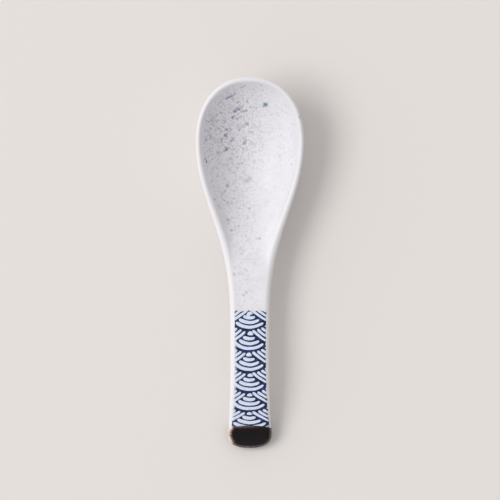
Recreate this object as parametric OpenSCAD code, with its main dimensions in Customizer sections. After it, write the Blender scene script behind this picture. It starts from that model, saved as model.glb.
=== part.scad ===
// Soup spoon of glazed stoneware, with a deep bowl and a short printed handle.
// The clay is fired in one piece and carries three coats, each a solid of its own:
// the white glaze, the wave print on the handle's top and the dark glaze on its end.
// Millimetres. The lip points to +Y, the handle to -Y, and +Z is up from the table.
// The origin is the middle of the foot, on the table.

/* [Spoon] */
// Length from the lip to the end of the handle
spoon_l = 171.2; // [160:0.2:190]
// Distance from the lip back to the middle of the foot
foot_back = 42; // [38:0.5:46]

/* [Bowl] */
// Width of the bowl over its rim
bowl_w = 49.8; // [42:0.2:58]
// Distance from the lip back to the widest place of the bowl
widest_back = 30; // [25:0.5:35]
// Height of the lip above the table
lip_h = 28; // [24:0.5:32]
// Height of the floor of the bowl above the table
floor_h = 4.2; // [3.6:0.1:6]
// Radius of the rounded rim of the bowl
rim_r = 1.25; // [1:0.05:1.8]

/* [Handle] */
// Width of the handle where it is narrowest
waist_w = 18; // [16:0.1:22]
// Distance from the lip back to the place where the handle is narrowest
waist_back = 122; // [112:0.5:130]
// Height of the top of the handle above the table
handle_h = 16; // [14:0.2:20]
// Thickness of the handle
handle_t = 6.4; // [5:0.1:8]
// Distance from the lip back to where the floor of the bowl has come up to the handle
merge_back = 92; // [86:0.5:100]
// Distance from the lip back to where the underside has come up to the handle
arch_back = 84; // [78:0.5:92]
// Depth of the shallow dish along the top of the handle
dish_t = 0.1; // [0.05:0.05:0.8]
// Radius of the rounded shoulders of the handle
shoulder_r = 2.3; // [1.8:0.1:2.8]
// Width of the flat strip along the underside of the handle
belly_w = 4; // [3:0.1:6]

/* [Handle end] */
// Width of the handle at its end
end_w = 19.8; // [18:0.1:23]
// Height of the top of the handle at its end
end_h = 8.2; // [7.5:0.1:10]
// Length of the end over which the handle turns down to the table
turn_l = 40; // [30:0.5:44]
// Length of the rounding that closes the end
round_l = 6.8; // [5:0.1:8]

/* [Glaze] */
// Thickness of the white glaze
glaze_t = 0.4; // [0.3:0.05:0.6]
// Thickness of the dark glaze
dark_t = 0.7; // [0.65:0.05:1]
// Length of the handle that is dipped in the dark glaze
dip_l = 9.7; // [9:0.1:14]
// Length over which the edge of the dark glaze swells to its thickness
bead_l = 0.9; // [0.5:0.1:1.5]

/* [Foot] */
// Length of the bare foot
foot_l = 26; // [20:0.5:30]
// Width of the bare foot
foot_w = 17; // [12:0.5:20]
// Height of the foot below the glaze round it
foot_h = 0.8; // [0.5:0.05:1.2]

/* [Print] */
// Distance from the lip back to the start of the print
print_back = 107.8; // [104:0.2:114]
// White margin on the left of the print, where the handle is narrowest
left_margin = 2.2; // [1.6:0.1:3]
// White margin on the right of the print, where the handle is narrowest
right_margin = 1.6; // [1.4:0.1:3]
// Length of a fan of waves, from one fan to the next, before it loses any
fan_l = 10.3; // [9:0.1:12]
// Length of the first fan, which the start of the print cuts short
first_fan_l = 9; // [8:0.1:10]
// Length that each fan loses against the one before it
fan_loss = 0.35; // [0:0.05:0.5]
// Radius of the outer line of a fan
fan_r = 11; // [10.6:0.1:12]
// Step from one line of a fan to the next
line_step = 2.3; // [1.9:0.05:2.6]
// Radius of the first line on either side of a fan
side_r = 45; // [42:0.5:50]
// Distance of the centre of that line from the middle of the handle
side_x = 32; // [30:0.5:35]
// Step from one line beside a fan to the next
side_step = 1.85; // [1.6:0.05:2.2]
// Width of the outer line of a fan
outline_w = 0.75; // [0.6:0.05:1]
// Width of the other lines
line_w = 0.55; // [0.4:0.05:0.8]
// Thickness of the print
print_t = 0.12; // [0.08:0.01:0.2]

/* [Hidden] */

// Places along the spoon, as distances back from the lip
foot_rear = foot_back + foot_l / 2;
turn_back = spoon_l - turn_l;
dip_back = spoon_l - dip_l;
end_back = spoon_l - round_l;

// Powers that shape the outline: a circle's is 2, and a higher one is squarer
lip_power = 2.2;
flank_power = 1.75;
end_power = 2.6;
// Powers of the fall of the rim from the lip, and of the turn down at the end
rim_power = 1.8;
turn_power = 2;
// Part of a quarter turn that the sections of the bowl's inside and underside sweep
inside_sweep = 78;
belly_sweep = 66;

// Steps of the surface round the lip, behind it, along the foot, the handle and the end
lip_steps = 12;
cheek_steps = 3;
foot_steps = 5;
handle_steps = 34;
bead_steps = 1;
tip_steps = 1;
cap_steps = 6;
// Steps of a section over the inside, the rim and the underside
inside_steps = 6;
rim_steps = 4;
belly_steps = 6;

// Rows where one stretch of the surface ends and the next begins
cheek_row = lip_steps;
spine_row = cheek_row + cheek_steps;
foot_row = spine_row + foot_steps;
dip_row = foot_row + handle_steps;
bead_row = dip_row + bead_steps;
end_row = bead_row + tip_steps;
last_row = end_row + cap_steps;
// Column of the middle of the underside, and columns all round a section
low_col = inside_steps + rim_steps + belly_steps + 1;
cols = 2 * low_col;

// The pad under the foot reaches into the clay above it by this much
foot_sink = glaze_t;
// The print lies this far above the glaze, and its lines end this far from each other
print_gap = glaze_t / 5;
line_gap = line_w / 5;
// Steps along a line of the print are no longer than this
print_step = line_w;
// The first lines on the two sides of a fan would meet this far below the foot of the fan before
meet_gap = line_w;
// Part of the first fan that shows below the start of the print
first_fan_share = 0.955;
// Power with which the print spreads as the handle widens
spread_power = 2.5;
// Lines in a fan and on either side of it
fan_lines = 4;
side_lines = 4;

function within(t) = min(max(t, 0), 1);
function ease(t) = (1 - cos(180 * within(t))) / 2;

// Half the width of the spoon, and the heights of its rim, floor and underside,
// at a distance s back from the lip
function neck_share(s) = pow(1 - ease((s - widest_back) / (waist_back - widest_back)), flank_power);
function flare_share(s) = pow(within((s - turn_back) / (end_back - turn_back)), turn_power);
function half_w(s) = (waist_w + (bowl_w - waist_w) * neck_share(s) + (end_w - waist_w) * flare_share(s)) / 2;
function turn_share(s) = pow(max((s - turn_back) / (end_back - turn_back), 0), turn_power);
function lip_rise(s) = (lip_h - handle_h) * pow(1 - within(s / waist_back), rim_power);
function rim_z(s) = handle_h + lip_rise(s) - (handle_h - end_h) * turn_share(s);
function merge_share(s) = ease((s - foot_back) / (merge_back - foot_back));
function floor_z(s) = floor_h + (rim_z(s) - dish_t - floor_h) * merge_share(s);
function arch_share(s) = ease((s - foot_rear) / (arch_back - foot_rear));
function arch_z(s) = foot_h + (handle_h - handle_t - foot_h) * arch_share(s);
function belly_z(s) = arch_z(s) - (handle_h - handle_t - dark_t + glaze_t) * flare_share(s);
function edge_r(s) = rim_r + (shoulder_r - rim_r) * merge_share(s);

// Half the width of the foot, or of the flat strip along the handle's underside
function oval_w(t) = foot_w / 2 * sqrt(max(1 - t * t, 0));
function flat_w(s) = max(oval_w((s - foot_back) / (foot_l / 2)), belly_w / 2);

// A row of the surface: the distances back of its middle and of its edge, the half width there,
// and how far the end has closed in, from 1 to 0. Rows fan out from the foot round the lip.
function lip_row(a) = [
    foot_back,
    widest_back * (1 - pow(cos(a), 2 / lip_power)),
    bowl_w / 2 * pow(sin(a), 2 / lip_power),
    1
];
function cheek_row_at(s) = [foot_back, s, half_w(s), 1];
function cross_row(s) = [s, s, half_w(s), 1];
function cap_row(a, inset) = let (
    s = end_back + (round_l - inset) * pow(sin(a), 2 / end_power)
) [s, s, half_w(s), pow(cos(a), 2 / end_power)];
function between(from, to, share) = from + (to - from) * share;
function row(k, inset) =
    k < cheek_row ? lip_row(90 * k / lip_steps) :
    k < spine_row ? cheek_row_at(between(widest_back, foot_back, (k - cheek_row) / cheek_steps)) :
    k < foot_row ? cross_row(between(foot_back, foot_rear, (k - spine_row) / foot_steps)) :
    k < dip_row ? cross_row(between(foot_rear, dip_back, (k - foot_row) / handle_steps)) :
    k < bead_row ? cross_row(between(dip_back, dip_back + bead_l, (k - dip_row) / bead_steps)) :
    k < end_row ? cross_row(between(dip_back + bead_l, end_back, (k - bead_row) / tip_steps)) :
    cap_row(90 * (k - end_row) / cap_steps, inset);

// The way that a row runs out from the middle, and its length
function reach(r) = norm([r[2], r[0] - r[1]]);
function way(r) = r[0] == r[1] ? [1, 0] : [r[2], r[0] - r[1]] / reach(r);
// Where a row crosses the edge of the foot or of the flat strip
function flat_reach(r) = r[0] == r[1] ? flat_w(r[0]) :
    1 / norm([way(r)[0] / (foot_w / 2), way(r)[1] / (foot_l / 2)]);

// Slope at which a swept curve of this height and reach ends
function end_slope(sweep, height, span) = atan2(height * (1 + cos(sweep)), span * cos(sweep));
function swept(sweep, height, span, share) = [
    span * sin(sweep * share) / sin(sweep),
    height * (1 - cos(sweep * share)) / (1 - cos(sweep))
];
// Slopes where the inside and the underside run into the round rim, found in two passes
function inside_slope(d, top, mid, r) = let (first = end_slope(inside_sweep, top - mid, d - r))
    end_slope(inside_sweep, top - r + r * cos(first) - mid, d - r - r * sin(first));
function belly_slope(d, top, low, r, flat) = let (first = end_slope(belly_sweep, top - r - low, d - flat))
    end_slope(belly_sweep, top - r - r * cos(first) - low, d - r + r * sin(first) - flat);

// One half of a section, as points of reach and height from the middle of the top
// over the rim to the middle of the underside, drawn in by the inset
function section(k, inset) = let (
    r = row(k, inset),
    c = r[3],
    mid_z = (rim_z(r[1]) + belly_z(r[0])) / 2,
    top = mid_z + (rim_z(r[1]) - inset - mid_z) * c,
    mid = mid_z + (floor_z(r[0]) - inset - mid_z) * c,
    low = mid_z + (belly_z(r[0]) + inset - mid_z) * c,
    d = (reach(r) - inset) * c,
    edge = (edge_r(r[1]) - inset) * c,
    flat = flat_reach(r) * c,
    in_slope = inside_slope(d, top, mid, edge),
    out_slope = belly_slope(d, top, low, edge, flat),
    inside_d = d - edge - edge * sin(in_slope),
    inside_z = top - edge + edge * cos(in_slope) - mid,
    belly_d = d - edge + edge * sin(out_slope) - flat,
    belly_h = top - edge - edge * cos(out_slope) - low
) concat(
    [for (i = [0:inside_steps - 1]) [0, mid] + swept(inside_sweep, inside_z, inside_d, i / inside_steps)],
    [for (i = [0:rim_steps]) let (turn = between(-in_slope, 180 - out_slope, i / rim_steps))
        [d - edge + edge * sin(turn), top - edge + edge * cos(turn)]],
    [for (i = [1:belly_steps]) [flat, low] + swept(belly_sweep, belly_h, belly_d, 1 - i / belly_steps)],
    [[0, low]]
);

// How far the surface of the dark glaze stands out from that of the white
function dark_rise(k) = (dark_t - glaze_t) * within((k - dip_row) / bead_steps);

// Points of the rows from one to another, all round each section
function ring(k, inset) = let (
    r = row(k, inset),
    half = section(k, inset),
    out = way(r)
) [for (j = [0:cols - 1]) let (p = half[j > low_col ? cols - j : j], side = j > low_col ? -1 : 1)
    [side * out[0] * p[0], foot_back - r[0] + out[1] * p[0], p[1]]];
function skin(from, to, inset) = [for (k = [from:to]) each ring(k, inset)];
function dark_skin() = [for (k = [dip_row:last_row]) each ring(k, -dark_rise(k))];

// Number of a point, where the fan's rows share their middles, the first row's two sides are one
// and the last row is a single point
function point_at(k, j, from) = let (
    around = (j + cols) % cols,
    col = k == last_row ? 0 : k == 0 && around > low_col ? cols - around : around,
    shared = k < spine_row && (col == 0 || col == low_col)
) ((shared ? 0 : k) - from) * cols + col;
function is_face(t) = t[0] != t[1] && t[1] != t[2] && t[0] != t[2];
function quad(a, b, c, d) = [for (t = [[a, b, c], [a, c, d]]) if (is_face(t)) t];
function flip(t) = [t[2], t[1], t[0]];
function lift(t, by) = [t[0] + by, t[1] + by, t[2] + by];
function in_foot(k, j) = k < foot_row && (j == low_col - 1 || j == low_col);

// Faces of a skin, whole or left open at the foot
function skin_faces(from, to, open) = [
    for (k = [from:to - 1])
        for (j = [0:cols - 1])
            if (!(open && in_foot(k, j)))
                each quad(point_at(k, j, from), point_at(k, j + 1, from),
                    point_at(k + 1, j + 1, from), point_at(k + 1, j, from))
];
// Faces that join a skin to the one inside it, along a row or along the edge of the foot
function row_wall(k, from, by, j_from, j_to) = [
    for (j = [j_from:j_to]) let (a = point_at(k, j, from), b = point_at(k, j + 1, from))
        each quad(a, b, b + by, a + by)
];
function col_wall(j, k_to, from, by) = [
    for (k = [0:k_to - 1]) let (a = point_at(k, j, from), b = point_at(k + 1, j, from))
        each quad(a, b, b + by, a + by)
];
function reversed(faces) = [for (t = faces) flip(t)];
function lifted(faces, by) = [for (t = faces) lift(t, by)];

// Outline of the foot, from the lip's side round to the other
foot_points = [
    for (k = [0:foot_row]) let (r = row(k, 0), q = flat_reach(r))
        [way(r)[0] * q, foot_back - r[0] + way(r)[1] * q]
];
foot_outline = concat(foot_points, [for (k = [foot_row:-1:1]) [-foot_points[k][0], foot_points[k][1]]]);

// Fired clay: bowl, neck and handle in one piece, with the bare pad that it stands on
module clay_body() {
    color("#cfc6b8") union() {
        polyhedron(skin(0, last_row, glaze_t), skin_faces(0, last_row, false));
        linear_extrude(height = foot_h + glaze_t + foot_sink) polygon(foot_outline);
    }
}

// White glaze: a shell over the clay, open round the foot and where the dark glaze begins
module white_glaze() {
    outer = skin(0, dip_row, 0);
    inner = skin(0, dip_row, glaze_t);
    by = len(outer);
    faces = skin_faces(0, dip_row, true);
    color("#eeedf2") polyhedron(concat(outer, inner), concat(
        faces,
        reversed(lifted(faces, by)),
        row_wall(dip_row, 0, by, 0, cols - 1),
        reversed(row_wall(foot_row, 0, by, low_col - 1, low_col)),
        reversed(col_wall(low_col - 1, foot_row, 0, by)),
        col_wall(low_col + 1, foot_row, 0, by)
    ));
}

// Dark glaze: a thick cap over the end of the handle, which it rests on
module tip_glaze() {
    outer = dark_skin();
    inner = skin(dip_row, last_row, glaze_t);
    by = len(outer);
    faces = skin_faces(dip_row, last_row, false);
    color("#1c1717") polyhedron(concat(outer, inner), concat(
        faces,
        reversed(lifted(faces, by)),
        reversed(row_wall(dip_row, dip_row, by, 0, cols - 1))
    ));
}

// Height of the top of the handle at x, at a distance s back from the lip
function top_z(x, s) = let (
    d = half_w(s),
    edge = edge_r(s),
    slope = inside_slope(d, rim_z(s), floor_z(s), edge),
    inside_d = d - edge - edge * sin(slope),
    inside_z = rim_z(s) - edge + edge * cos(slope) - floor_z(s),
    angle = asin(within(abs(x) / inside_d) * sin(inside_sweep))
) abs(x) < inside_d
    ? floor_z(s) + inside_z * (1 - cos(angle)) / (1 - cos(inside_sweep))
    : rim_z(s) - edge + sqrt(max(edge * edge - pow(abs(x) - d + edge, 2), 0));

// Fans of waves: the length of each, the place of its foot, and how many the print holds
function fan_len(n) = n == 0 ? first_fan_l : fan_l - fan_loss * n;
function fan_foot(n) = print_back + first_fan_share * first_fan_l + fan_l * n - fan_loss * n * (n + 1) / 2;
most_fans = ceil(2 * (dip_back - print_back) / fan_l);
fans = len([for (n = [0:most_fans]) if (fan_foot(n) - fan_len(n) < dip_back) n]);

// A point of the print on the handle: across the print, and down from the foot of fan n
function on_handle(p, n, rise) = let (
    s = fan_foot(n) + p[1] * fan_len(n) / fan_l,
    x = p[0] * pow(half_w(s) / (waist_w / 2), spread_power)
) [x, foot_back - s, top_z(x, s) + rise];

// Centres of a fan and of the lines beside it, on the left or on the right
side_up = fan_l - meet_gap + sqrt(side_r * side_r - side_x * side_x);
fan_centre = [0, -fan_r];
function side_centre(side) = [side * side_x, -side_up];
function edge_x(side) = waist_w / 2 - (side < 0 ? left_margin : right_margin);

// Angles where an arc runs into another circle, whose centre lies across and down from its own,
// where it comes to a place across or down from its own centre, and that a length takes up on it
function meets(radius, across, down, other) = let (
    far = norm([across, down]),
    sine = (radius * radius + far * far - other * other) / (2 * radius * far)
) atan2(-down, across) + asin(min(max(sine, -1), 1));
function angle_across(radius, across) = asin(within(across / radius));
function angle_down(radius, down) = acos(within(down / radius));
function angle_of(radius, l) = l / radius * 180 / PI;

// Lines of the print: each is [fan, centre, radius, from angle, to angle, width, steps],
// with angles from straight down towards the right
room = line_gap + outline_w;
function line_width(i) = i == 0 ? outline_w : line_w;
function arc_l(radius, angle) = angle * PI / 180 * radius;
function is_line(radius, from, to) = arc_l(radius, to - from) > outline_w;
function line(n, centre, radius, from, to, width) =
    [n, centre, radius, from, to, width, ceil(arc_l(radius, abs(to - from)) / print_step)];
function lowest(n) = min((dip_back - room - fan_foot(n)) * fan_l / fan_len(n), 0);
function highest(n) = (print_back - fan_foot(n)) * fan_l / fan_len(n);
function fan_line(n, i) = let (
    radius = fan_r - line_step * i,
    beside = meets(radius, side_x, fan_r - side_up, side_r) - angle_of(radius, room),
    left = min(beside, angle_across(radius, edge_x(-1))),
    right = min(beside, angle_across(radius, edge_x(1))),
    from = angle_down(radius, lowest(n) + fan_r),
    halves = [[-left, -from], [from, right]]
) from <= 0 ? [line(n, fan_centre, radius, -left, right, line_width(i))] :
    [for (half = halves) if (is_line(radius, half[0], half[1]))
        line(n, fan_centre, radius, half[0], half[1], line_width(i))];
function side_line(n, i, side) = let (
    radius = side_r - side_step * i,
    below_last = meets(radius, side_x, side_up - fan_r - fan_l, fan_r) - angle_of(radius, room),
    below_start = angle_down(radius, highest(n) + side_up),
    beside = angle_across(radius, side_x - room),
    to = min(n == 0 ? below_start : below_last, beside),
    at_edge = angle_across(radius, side_x - edge_x(side)),
    from = max(at_edge, angle_down(radius, lowest(n) + side_up))
) is_line(radius, from, to)
    ? [line(n, side_centre(side), radius, -side * from, -side * to, line_width(i))] : [];
lines = [
    for (n = [0:fans - 1]) each concat(
        [for (i = [0:fan_lines - 1]) each fan_line(n, i)],
        [for (i = [0:side_lines - 1]) for (side = [-1, 1]) each side_line(n, i, side)]
    )
];

// A line as a flat strip on the glaze: four points to a step, and the faces that close it
function strip(l) = [
    for (i = [0:l[6]]) let (
        a = between(l[3], l[4], i / l[6]),
        out = [sin(a), cos(a)],
        near = l[1] + out * (l[2] - l[5] / 2),
        far = l[1] + out * (l[2] + l[5] / 2)
    )
        each [
            on_handle(near, l[0], print_gap),
            on_handle(far, l[0], print_gap),
            on_handle(far, l[0], print_gap + print_t),
            on_handle(near, l[0], print_gap + print_t)
        ]
];
function strip_faces(l) = let (last = 4 * l[6]) concat(
    [for (i = [0:l[6] - 1]) for (j = [0:3]) let (a = 4 * i + j, b = 4 * i + (j + 1) % 4)
        each quad(a, b, b + 4, a + 4)],
    quad(3, 2, 1, 0),
    quad(last, last + 1, last + 2, last + 3)
);
function turned(l) = l[4] < l[3];
function strip_solid_faces(l) = turned(l) ? strip_faces(l) : reversed(strip_faces(l));
line_points = [for (l = lines) 4 * (l[6] + 1)];
line_starts = [for (i = 0, sum = 0; i < len(lines); sum = sum + line_points[i], i = i + 1) sum];

// Cobalt print: every line of the waves is a thin strip of its own
module wave_print() {
    color("#24365c") polyhedron(
        [for (l = lines) each strip(l)],
        [for (i = [0:len(lines) - 1]) each lifted(strip_solid_faces(lines[i]), line_starts[i])]
    );
}

clay_body();
white_glaze();
wave_print();
tip_glaze();
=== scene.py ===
"""Soup spoon of glazed stoneware: fired clay, white glaze, wave print and a dark dipped end.

Metres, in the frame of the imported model: the lip points to +Y, the handle to -Y, and the origin is
the middle of the foot on the table. Sizes in the sections are millimetres until a mesh is made, and
a place along the spoon is its distance back from the lip.
"""

import math

import bmesh
import bpy
import numpy as np
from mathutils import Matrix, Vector


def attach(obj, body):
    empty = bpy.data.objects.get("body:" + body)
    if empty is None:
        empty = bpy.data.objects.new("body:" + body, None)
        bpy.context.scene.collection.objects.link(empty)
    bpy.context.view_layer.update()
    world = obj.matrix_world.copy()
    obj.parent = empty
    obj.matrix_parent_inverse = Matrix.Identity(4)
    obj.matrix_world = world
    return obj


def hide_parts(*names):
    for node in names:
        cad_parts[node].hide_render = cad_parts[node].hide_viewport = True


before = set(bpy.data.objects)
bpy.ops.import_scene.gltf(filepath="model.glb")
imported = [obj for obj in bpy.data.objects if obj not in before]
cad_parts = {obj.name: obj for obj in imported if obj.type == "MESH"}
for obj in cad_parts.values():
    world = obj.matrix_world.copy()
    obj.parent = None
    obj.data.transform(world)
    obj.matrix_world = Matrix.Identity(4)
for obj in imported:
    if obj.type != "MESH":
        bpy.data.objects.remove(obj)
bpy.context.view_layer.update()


# Clay body: stoneware pressed in a mould, with bowl, neck and handle in one piece, and fired.
# It shows only under the bowl, where the oval foot was wiped clean of glaze so that it wouldn't
# stick to the kiln shelf. Its surface is what the glazes lie on.
MM = 0.001
SPOON_L = 171.2  # from the lip to the end of the handle
FOOT_BACK = 42.0  # middle of the foot
FOOT_L, FOOT_W = 26.0, 17.0
FOOT_H = 0.8  # foot, below the glaze round it
BOWL_W = 49.8  # bowl, over its rim
WIDEST_BACK = 30.0  # widest place of the bowl
LIP_H = 28.0
FLOOR_H = 4.2  # floor of the bowl
RIM_R = 1.25
WAIST_W = 18.0  # handle, where it is narrowest
WAIST_BACK = 122.0  # narrowest place of the handle
HANDLE_H = 16.0  # top of the handle
HANDLE_T = 6.4
MERGE_BACK = 92.0  # where the floor of the bowl has come up to the handle
ARCH_BACK = 84.0  # where the underside has come up to the handle
DISH_T = 0.1  # shallow dish along the top of the handle
SHOULDER_R = 2.3  # rounded shoulders of the handle
BELLY_W = 4.0  # flat strip along the underside
END_W, END_H = 19.8, 8.2  # end of the handle, across and up to its top
TURN_L = 40.0  # stretch over which the handle turns down to the table
ROUND_L = 6.8  # rounding that closes the end
GLAZE_T, DARK_T = 0.4, 0.7  # white and dark glaze

# Powers of the outline at the lip and the end, where a circle's is 2 and a higher one is squarer
LIP_POWER, END_POWER = 2.2, 2.6
# Powers of the flank's taper, of the rim's fall from the lip and of the turn at the end
FLANK_POWER, RIM_POWER, TURN_POWER = 1.75, 1.8, 2.0
# Part of a quarter turn that a section's inside and its underside sweep
INSIDE_SWEEP, BELLY_SWEEP = math.radians(78), math.radians(66)

FOOT_REAR = FOOT_BACK + FOOT_L / 2
BLEND_BACK = 2 * FOOT_BACK - WIDEST_BACK  # from here on, rows lie straight across the spoon
TURN_BACK = SPOON_L - TURN_L
END_BACK = SPOON_L - ROUND_L
TINY = 1e-9  # keeps a division off zero


def ease(t):
    """A soft step from 0 to 1."""
    return (1 - np.cos(np.pi * np.clip(t, 0, 1))) / 2


def turned(s):
    """How far the handle has turned down, from 0 to 1 where the rounding begins, and on from there."""
    return np.maximum((s - TURN_BACK) / (END_BACK - TURN_BACK), 0) ** TURN_POWER


def flare(s):
    """How far the handle has widened to its end, from 0 to 1."""
    return np.minimum(turned(s), 1)


def merge(s):
    """How far the floor of the bowl has come up to the top of the handle, from 0 to 1."""
    return ease((s - FOOT_BACK) / (MERGE_BACK - FOOT_BACK))


def half_width(s):
    """Half the width of the spoon."""
    neck = (1 - ease((s - WIDEST_BACK) / (WAIST_BACK - WIDEST_BACK))) ** FLANK_POWER
    return (WAIST_W + (BOWL_W - WAIST_W) * neck + (END_W - WAIST_W) * flare(s)) / 2


def edge_radius(s):
    """Radius of the rim, which grows into that of the shoulders."""
    return RIM_R + (SHOULDER_R - RIM_R) * merge(s)


def rim_height(s):
    """Height of the rim, and of the shoulders that it runs into."""
    rise = (LIP_H - HANDLE_H) * (1 - np.clip(s / WAIST_BACK, 0, 1)) ** RIM_POWER
    return HANDLE_H + rise - (HANDLE_H - END_H) * turned(s)


def floor_height(s):
    """Height of the bowl's floor, and of the middle of the handle's top."""
    return FLOOR_H + (rim_height(s) - DISH_T - FLOOR_H) * merge(s)


def belly_height(s):
    """Height of the underside."""
    arch = ease((s - FOOT_REAR) / (ARCH_BACK - FOOT_REAR))
    under = FOOT_H + (HANDLE_H - HANDLE_T - FOOT_H) * arch
    return under - (HANDLE_H - HANDLE_T - DARK_T + GLAZE_T) * flare(s)


def lip_rows(count):
    """Rows that fan out from the foot round the lip: middle back, edge back, edge across, closing."""
    a = np.linspace(0, np.pi / 2, count, endpoint=False)
    edge_s = WIDEST_BACK * (1 - np.cos(a) ** (2 / LIP_POWER))
    edge_x = BOWL_W / 2 * np.sin(a) ** (2 / LIP_POWER)
    return np.stack([np.full(count, FOOT_BACK), edge_s, edge_x, np.ones(count)], 1)


def cross_rows(s):
    """Rows across the spoon. Round the widest place they swing smoothly out of the fan."""
    swing = FOOT_BACK + (s - WIDEST_BACK) ** 2 / (2 * (BLEND_BACK - WIDEST_BACK))
    mid = np.where(s < BLEND_BACK, swing, s)
    return np.stack([mid, s, half_width(s), np.ones(len(s))], 1)


def stretch(start, end, count):
    """Rows across the spoon from one place to just short of another."""
    return cross_rows(np.linspace(start, end, count, endpoint=False))


def end_rows(count, inset):
    """Rows that close the rounded end of the handle, down to a point."""
    a = np.linspace(0, np.pi / 2, count + 1)
    s = END_BACK + (ROUND_L - inset) * np.sin(a) ** (2 / END_POWER)
    close = np.maximum(np.cos(a), 0) ** (2 / END_POWER)
    close[-1] = 0
    return np.stack([s, s, half_width(s), close], 1)


def flat_reach(off, way):
    """How far out rows leave the foot's oval, or the flat strip, along the way that they take.

    Off is how far the middle of a row lies from the middle of the foot.
    """
    a = (way[:, 0] / (FOOT_W / 2)) ** 2 + (way[:, 1] / (FOOT_L / 2)) ** 2
    b = off * way[:, 1] / (FOOT_L / 2) ** 2
    c = (off / (FOOT_L / 2)) ** 2 - 1
    oval = (-b + np.sqrt(np.maximum(b * b - a * c, 0))) / a
    return np.where(c < 0, np.maximum(oval, BELLY_W / 2), BELLY_W / 2)


def end_slope(sweep, height, span):
    """Slope at which a swept curve of this height and span ends."""
    return np.arctan2(height * (1 + np.cos(sweep)), span * np.cos(sweep))


def inside_curve(reach, top, low, edge):
    """The inside up to where it meets the round rim, in two passes: slope there, span and height."""
    first = end_slope(INSIDE_SWEEP, top - low, reach - edge)
    height = top - edge + edge * np.cos(first) - low
    slope = end_slope(INSIDE_SWEEP, height, reach - edge - edge * np.sin(first))
    return slope, reach - edge - edge * np.sin(slope), top - edge + edge * np.cos(slope) - low


def belly_curve(reach, top, low, edge, flat):
    """The underside up to where it meets the round rim, in the same way."""
    first = end_slope(BELLY_SWEEP, top - edge - low, reach - flat)
    height = top - edge - edge * np.cos(first) - low
    slope = end_slope(BELLY_SWEEP, height, reach - edge + edge * np.sin(first) - flat)
    return slope, reach - edge + edge * np.sin(slope) - flat, top - edge - edge * np.cos(slope) - low


def skin(rows, inset, steps):
    """Points of the right half of the spoon's surface, drawn in by the inset.

    Each row runs from the middle of the top over the rim to the middle of the underside, with
    steps over the inside, the rim, the underside and its flat strip.
    """
    mid_s, edge_s, edge_x, close = rows.T
    inset = np.broadcast_to(inset, mid_s.shape)
    length = np.hypot(edge_x, mid_s - edge_s)
    way = np.stack([edge_x, mid_s - edge_s], 1) / np.maximum(length, TINY)[:, None]
    off = FOOT_BACK - mid_s

    mid_z = (rim_height(edge_s) + belly_height(mid_s)) / 2
    top = mid_z + (rim_height(edge_s) - inset - mid_z) * close
    mid = mid_z + (floor_height(mid_s) - inset - mid_z) * close
    low = mid_z + (belly_height(mid_s) + inset - mid_z) * close
    reach = (length - inset) * close
    edge = (edge_radius(edge_s) - inset) * close
    flat = flat_reach(off, way) * close
    slope_in, in_span, in_h = inside_curve(reach, top, mid, edge)
    slope_out, out_span, out_h = belly_curve(reach, top, low, edge, flat)

    inside, rim, under, strip = steps
    t = np.linspace(0, 1, inside, endpoint=False) * INSIDE_SWEEP
    sides = [np.outer(in_span, np.sin(t) / np.sin(INSIDE_SWEEP))]
    heights = [mid[:, None] + np.outer(in_h, (1 - np.cos(t)) / (1 - np.cos(INSIDE_SWEEP)))]
    turn = -slope_in[:, None] + np.outer(np.pi - slope_out + slope_in, np.linspace(0, 1, rim + 1))
    sides.append((reach - edge)[:, None] + edge[:, None] * np.sin(turn))
    heights.append((top - edge)[:, None] + edge[:, None] * np.cos(turn))
    t = np.linspace(1, 0, under + 1)[1:] * BELLY_SWEEP
    sides.append(flat[:, None] + np.outer(out_span, np.sin(t) / np.sin(BELLY_SWEEP)))
    heights.append(low[:, None] + np.outer(out_h, (1 - np.cos(t)) / (1 - np.cos(BELLY_SWEEP))))
    sides.append(np.outer(flat, np.linspace(1, 0, strip + 1)[1:]))
    heights.append(np.repeat(low[:, None], strip, 1))

    side, height = np.concatenate(sides, 1), np.concatenate(heights, 1)
    return np.stack([way[:, :1] * side, off[:, None] + way[:, 1:] * side, height], 2)


def placed(name, data):
    """An object of this mesh, lamp or camera, put into the scene."""
    thing = bpy.data.objects.new(name, data)
    bpy.context.scene.collection.objects.link(thing)
    return thing


WELD = 0.0005  # points nearer than this are one


def piece_of(name, sheets, material, mark="mark"):
    """A closed piece from right-half sheets of points, with the finish that it carries.

    Each sheet has a mask of the quads that it keeps, and a number at every point of its right
    side and of its left, which the finish reads under the name of the mark.
    """
    bm = bmesh.new()
    layer = bm.verts.layers.float.new(mark)
    for points, keep, right_marks, left_marks in sheets:
        for side, marks in ((1, right_marks), (-1, left_marks)):
            grid = [[bm.verts.new((side * x * MM, y * MM, z * MM)) for x, y, z in row] for row in points]
            for row, row_marks in zip(grid, marks):
                for vertex, value in zip(row, row_marks):
                    vertex[layer] = value
            for k in range(len(grid) - 1):
                for j in range(len(grid[0]) - 1):
                    if keep[k, j]:
                        bm.faces.new((grid[k][j], grid[k][j + 1], grid[k + 1][j + 1], grid[k + 1][j]))
    bmesh.ops.delete(bm, geom=[v for v in bm.verts if not v.link_faces], context="VERTS")
    bmesh.ops.remove_doubles(bm, verts=bm.verts, dist=WELD * MM)
    bmesh.ops.dissolve_degenerate(bm, edges=bm.edges, dist=WELD * MM)
    bmesh.ops.recalc_face_normals(bm, faces=bm.faces)
    for face in bm.faces:
        face.smooth = True
    mesh = bpy.data.meshes.new(name)
    bm.to_mesh(mesh)
    bm.free()
    mesh.materials.append(material)
    return placed(name, mesh)


def linear(code):
    """Linear colour from an sRGB hex value."""
    channels = [int(code[i:i + 2], 16) / 255 for i in (1, 3, 5)]
    return [c / 12.92 if c <= 0.04045 else ((c + 0.055) / 1.055) ** 2.4 for c in channels] + [1.0]


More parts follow.
